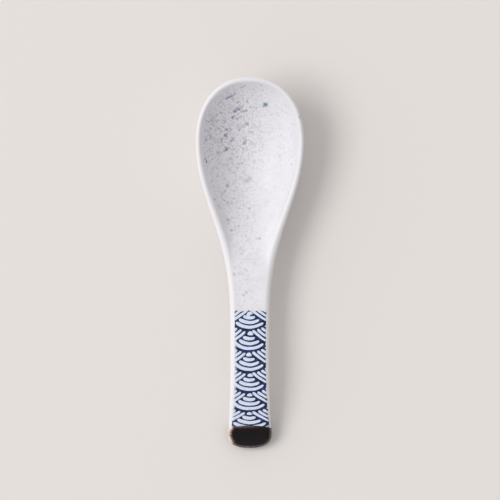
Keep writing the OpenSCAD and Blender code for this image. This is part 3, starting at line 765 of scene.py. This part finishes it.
painted = add_node(brush, "GeometryNodeCurveToMesh", {
    "Curve": drawn.outputs["Geometry"], "Profile Curve": tube.outputs["Curve"],
    "Scale": width_here.outputs["Attribute"], "Fill Caps": True})
split = add_node(brush, "ShaderNodeSeparateXYZ", {"Vector": here})
above = add_node(brush, "ShaderNodeCombineXYZ", {
    "X": split.outputs["X"], "Y": split.outputs["Y"], "Z": ABOVE_ALL * MM})
under = add_node(brush, "GeometryNodeObjectInfo", {"Object": given["Glaze"]})
seat = add_node(brush, "GeometryNodeRaycast", {
    "Target Geometry": under.outputs["Geometry"], "Source Position": above.outputs["Vector"],
    "Ray Direction": (0, 0, -1), "Ray Length": 2 * ABOVE_ALL * MM})
seat_z = add_node(brush, "ShaderNodeSeparateXYZ", {"Vector": seat.outputs["Hit Position"]})
pressed = add_node(brush, "ShaderNodeMath", {
    0: split.outputs["Z"], 1: given["Flatness"], 2: given["Lift"]}, operation="MULTIPLY_ADD")
height = add_node(brush, "ShaderNodeMath", {
    0: seat_z.outputs["Z"], 1: pressed.outputs["Value"]}, operation="ADD")
laid = add_node(brush, "ShaderNodeCombineXYZ", {
    "X": split.outputs["X"], "Y": split.outputs["Y"], "Z": height.outputs["Value"]})
seated = add_node(brush, "GeometryNodeSetPosition", {
    "Geometry": painted.outputs["Mesh"], "Position": laid.outputs["Vector"]})
smooth = add_node(brush, "GeometryNodeSetShadeSmooth", {"Geometry": seated.outputs["Geometry"]})
real = add_node(brush, "GeometryNodeRealizeInstances", {"Geometry": smooth.outputs["Geometry"]})
coated = add_node(brush, "GeometryNodeSetMaterial", {
    "Geometry": real.outputs["Geometry"], "Material": given["Finish"]})
add_node(brush, "NodeGroupOutput", {"Geometry": coated.outputs["Geometry"]})

modifier = stroke_lines.modifiers.new("brush", "NODES")
modifier.node_group = brush
for name, kind, value in brush_inputs:
    modifier[brush.interface.items_tree[name].identifier] = value
shown = stroke_lines.evaluated_get(bpy.context.evaluated_depsgraph_get())
bands_mesh = bpy.data.meshes.new_from_object(shown)
bpy.data.objects.remove(stroke_lines)
bands = placed("wave_bands", bands_mesh)
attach(bands, "root")


# Dark glaze: a thick black-brown iron glaze that the end of the handle was dipped in, over the edge
# of the white one. It begins in a round bead, which bows forward in the middle of the top and back
# at the sides and below.
DIP_STEPS = (20, 14, 20, 4)
BEAD_POINTS, DIP_ROWS, DIP_END_ROWS = 9, 12, 24
BEAD_L = 0.9  # stretch over which the edge swells to its thickness
SEAT = 0.004  # hair of room between the dark glaze and the white
BOW_FORE, BOW_BACK = 0.7, 0.5  # how far the bead bows towards the lip and away from it
LAP_L, LAP_END = 1.6, 2.2  # how far the dark glaze lies on the white, and where it has reached the clay
DARK_RISE = DARK_T - GLAZE_T
bead = np.linspace(0, np.pi / 2, BEAD_POINTS)
bead_s = DIP_BACK + BEAD_L * (1 - np.cos(bead))
near_s = np.concatenate([bead_s, np.linspace(DIP_BACK + BEAD_L, END_BACK, DIP_ROWS)[1:-1]])


def dip_sheet(near_inset, end_inset):
    """Half of one side of the dark coat."""
    rows = np.concatenate([cross_rows(near_s), end_rows(DIP_END_ROWS, end_inset)])
    insets = np.concatenate([near_inset, np.full(DIP_END_ROWS + 1, end_inset)])
    sheet = skin(rows, insets, DIP_STEPS)
    share = np.abs(sheet[0, :, 0]) / sheet[0, :, 0].max()
    on_top = np.arange(len(share)) < DIP_STEPS[0] + DIP_STEPS[1] // 2
    bow = BOW_BACK - (BOW_FORE + BOW_BACK) * np.where(on_top, 1 - share ** 2, 0)
    fade = 1 - (near_s - DIP_BACK) / (END_BACK - DIP_BACK)
    for j, back in enumerate(bow):
        sheet[:len(near_s), j] = skin(cross_rows(near_s + back * fade), near_inset, DIP_STEPS)[:, j]
    return sheet


outer_inset = np.full(len(near_s), -DARK_RISE)
outer_inset[:BEAD_POINTS] = -SEAT - (DARK_RISE - SEAT) * np.sin(bead)
inner_inset = np.interp(near_s, [DIP_BACK, DIP_BACK + LAP_L, DIP_BACK + LAP_END], [-SEAT, -SEAT, COAT_T])
dip_outer, dip_inner = dip_sheet(outer_inset, -DARK_RISE), dip_sheet(inner_inset, COAT_T)
dip_quads = np.ones(dip_outer.shape[:2], bool)

# Glossy iron glaze: black where it lies thick, breaking through brown to buff where it ran thin at the
# corners, at the bead and at the inner edge of the left side's band, under a clear wet gloss. The grey along
# the rim is a painted reflection, and the pale pinkish white down the left side is a painted highlight.
# Tones from thick black glaze to buff; the grey at 0.42 serves the painted reflection, the pale top the
# painted highlight
IRON_AND_PAINTED_REFLECTION_TONES = (
    (0.0, "#0e0a0a"), (0.2, "#241916"), (0.42, "#595151"), (0.62, "#8f7468"), (0.84, "#c2a699"),
    (1.0, "#e8d8ce"))
PATCH_L = 1.1
dark_finish, tree, shader, place = new_finish("glossy_iron_glaze")
shader.inputs["Roughness"].default_value = 0.12
shader.inputs["Specular IOR Level"].default_value = 0.2
# This mark holds thin glaze together with the painted reflection round the rim and the painted highlight on
# the left
thin = add_node(tree, "ShaderNodeAttribute", attribute_name="thin")
patch = add_node(tree, "ShaderNodeTexNoise", {"Vector": place, "Scale": 1 / (PATCH_L * MM), "Detail": 3.0})
uneven = add_node(tree, "ShaderNodeMapRange", {
    "Value": patch.outputs["Fac"], "From Min": 0.3, "From Max": 0.7, "To Min": 0.75, "To Max": 1.25})
patched = add_node(tree, "ShaderNodeMath", {
    0: thin.outputs["Fac"], 1: uneven.outputs["Result"]}, operation="MULTIPLY")
irons = add_node(tree, "ShaderNodeValToRGB", {"Fac": patched.outputs["Value"]})
stops = irons.color_ramp.elements
for position, code in IRON_AND_PAINTED_REFLECTION_TONES[1:-1]:
    stops.new(position)
for stop, (position, code) in zip(stops, IRON_AND_PAINTED_REFLECTION_TONES):
    stop.color = linear(code)
tree.links.new(irons.outputs["Color"], shader.inputs["Base Color"])

# Thin places and painted light: the sides with their corners, the rim along the whole outline, and the brim
# at the bead. The band down the left side is a painted highlight, brown at its inner edge where the glaze
# runs thin, and the rim's grey band is a painted reflection. Lengths, widths and fades are millimetres in
# plan, a drop is millimetres below the outline over which the place fades, and each strength is a share of
# the strongest. A side is what faces left or right so far
SIDE_FACING, FACING_FADE = 0.35, 0.4
CORNER_L = 2.6
# The pale band down the left side is a painted highlight, fading through brown where the glaze runs thin
LEFT_W, LEFT_CORNER_W, LEFT_FADE, LEFT_HIGHLIGHT = 2.6, 0.9, 2.2, 1.0
RIGHT_W, RIGHT_CORNER_W, RIGHT_FADE, RIGHT_THIN = 0.0, 1.2, 1.0, 0.62
SIDE_DROP, SIDE_DROP_FROM = 1.5, 1.3
# The grey band round the rim is a painted reflection
RIM_W, RIM_W_FADE, RIM_DROP, RIM_DROP_FROM, RIM_REFLECTION = 1.3, 0.35, 0.6, 1.2, 0.4
BRIM_L, BRIM_THIN, BRIM_MIDDLE, BRIM_TILT, BRIM_HALF_W = 1.3, 0.52, 0.65, 0.3, 9.0


def thin_places(sheet, side):
    """How thin the dark glaze lies on one side of the spoon, with the painted reflection and highlight, from
    0 to 1.
    """
    rows = np.arange(len(sheet))
    widest = sheet[:, :, 0].argmax(1)
    outline = sheet[rows, widest, :2]
    way = np.gradient(outline, axis=0)
    facing = -way[:, 1] / np.maximum(np.hypot(way[:, 0], way[:, 1]), TINY)
    facing[outline[:, 1] > FOOT_BACK - END_BACK] = 1
    apart = np.linalg.norm(sheet[:, :, None, :2] - outline[None, None], axis=3)
    from_edge = apart.min(2)
    sideways = np.clip((facing[apart.argmin(2)] - SIDE_FACING) / FACING_FADE, 0, 1)
    from_dip = FOOT_BACK - sheet[:, :, 1] - DIP_BACK
    below = sheet[rows, widest, 2][:, None] - sheet[:, :, 2]
    corner = np.clip(1 - from_dip / CORNER_L, 0, 1)
    # Left: a painted highlight down the side, brown at its inner edge; right: only the corners, where the
    # glaze ran thin
    if side < 0:
        width, fade, thinnest = LEFT_W + LEFT_CORNER_W * corner, LEFT_FADE, LEFT_HIGHLIGHT
    else:
        width, fade, thinnest = RIGHT_W + RIGHT_CORNER_W * corner, RIGHT_FADE, RIGHT_THIN
    edge = thinnest * sideways * np.clip((width - from_edge) / fade, 0, 1)
    edge = edge * np.clip(SIDE_DROP_FROM - below / SIDE_DROP, 0, 1)
    # Painted reflection: a grey band round the whole outline of the rim
    rim = RIM_REFLECTION * np.clip((RIM_W - from_edge) / RIM_W_FADE, 0, 1)
    rim = rim * np.clip(RIM_DROP_FROM - below / RIM_DROP, 0, 1)
    tilt = BRIM_MIDDLE - BRIM_TILT * side * sheet[:, :, 0] / BRIM_HALF_W
    brim = BRIM_THIN * np.clip(1 - from_dip / BRIM_L, 0, 1) * tilt
    return np.maximum(np.maximum(edge, rim), brim)


dip_sheets = [
    (sheet, dip_quads, thin_places(sheet, 1), thin_places(sheet, -1)) for sheet in (dip_outer, dip_inner)]
tip = piece_of("dipped_end", dip_sheets, dark_finish, "thin")
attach(tip, "root")
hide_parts("tip_glaze")


# Stage: a plain pale table top, soft light from all round that is brighter low down and on the left,
# a large lamp from the left, and a camera straight above.
TABLE_HALF_W = 9.0  # metres
TABLE_DROP = 0.1  # hair of room under the foot
corners = ((-1, -1), (1, -1), (1, 1), (-1, 1))
floor_mesh = bpy.data.meshes.new("table_top")
floor_mesh.from_pydata(
    [(x * TABLE_HALF_W, y * TABLE_HALF_W, -TABLE_DROP * MM) for x, y in corners], [], [(0, 1, 2, 3)])
floor = placed("table_top", floor_mesh)
floor_finish, tree, shader, place = new_finish("matt_pale_table")
shader.inputs["Base Color"].default_value = linear("#e7e2de")
shader.inputs["Roughness"].default_value = 0.9
shader.inputs["Specular IOR Level"].default_value = 0.1
floor_mesh.materials.append(floor_finish)

LOW_LIGHT, HIGH_LIGHT = 0.78, 0.5  # from the horizon and from straight above
BRIGHT_SIDE = (-0.95, 0.3, 0.0)
DIM_SHARE, BRIGHT_SHARE = 0.7, 1.3  # of that light, opposite the bright side and on it
world = bpy.data.worlds.new("studio")
world.use_nodes = True
tree = world.node_tree
gaze = add_node(tree, "ShaderNodeTexCoord").outputs["Generated"]
look = add_node(tree, "ShaderNodeSeparateXYZ", {"Vector": gaze})
rise = add_node(tree, "ShaderNodeMath", {0: look.outputs["Z"], 1: look.outputs["Z"]}, operation="MULTIPLY")
fill = add_node(tree, "ShaderNodeMapRange", {
    "Value": rise.outputs["Value"], "To Min": LOW_LIGHT, "To Max": HIGH_LIGHT})
to_bright = add_node(tree, "ShaderNodeVectorMath", {0: gaze, 1: BRIGHT_SIDE}, operation="DOT_PRODUCT")
sided = add_node(tree, "ShaderNodeMapRange", {
    "Value": to_bright.outputs["Value"], "From Min": -1.0, "From Max": 1.0, "To Min": DIM_SHARE,
    "To Max": BRIGHT_SHARE})
light = add_node(tree, "ShaderNodeMath", {
    0: fill.outputs["Result"], 1: sided.outputs["Result"]}, operation="MULTIPLY")
tree.links.new(light.outputs["Value"], tree.nodes["Background"].inputs["Strength"])
tree.nodes["Background"].inputs["Color"].default_value = linear("#ffffff")
bpy.context.scene.world = world

LAMP_AWAY, LAMP_W, LAMP_H = 6.0, 4.2, 2.8  # metres
LAMP_SHARE = 0.36  # light on the table, as a share of an even white sky's
LAMP_SIDE = (-0.97, 0.14, 1.25)  # where it stands, seen from the spoon
lamp_way = np.array(LAMP_SIDE) / np.linalg.norm(LAMP_SIDE)
lamp_light = bpy.data.lights.new("window", "AREA")
lamp_light.shape = "RECTANGLE"
lamp_light.size, lamp_light.size_y = LAMP_W, LAMP_H
lamp_light.energy = LAMP_SHARE * math.pi ** 2 * LAMP_AWAY ** 2 / lamp_way[2]
lamp = placed("window", lamp_light)
lamp.location = Vector(lamp_way * LAMP_AWAY)
lamp.rotation_euler = Vector(lamp_way).to_track_quat("Z", "Y").to_euler()

VIEW_W, VIEW_AWAY = 232.0, 3000.0  # width of the picture on the table, and height of the camera
VIEW_X, VIEW_Y = 0.1, -37.7  # middle of the picture
SENSOR_W = 36
camera_data = bpy.data.cameras.new("camera")
camera_data.sensor_width = SENSOR_W
camera_data.lens = SENSOR_W * VIEW_AWAY / VIEW_W
camera = placed("camera", camera_data)
camera.location = (VIEW_X * MM, VIEW_Y * MM, VIEW_AWAY * MM)
bpy.context.scene.camera = camera
bpy.context.scene.view_settings.view_transform = "Standard"
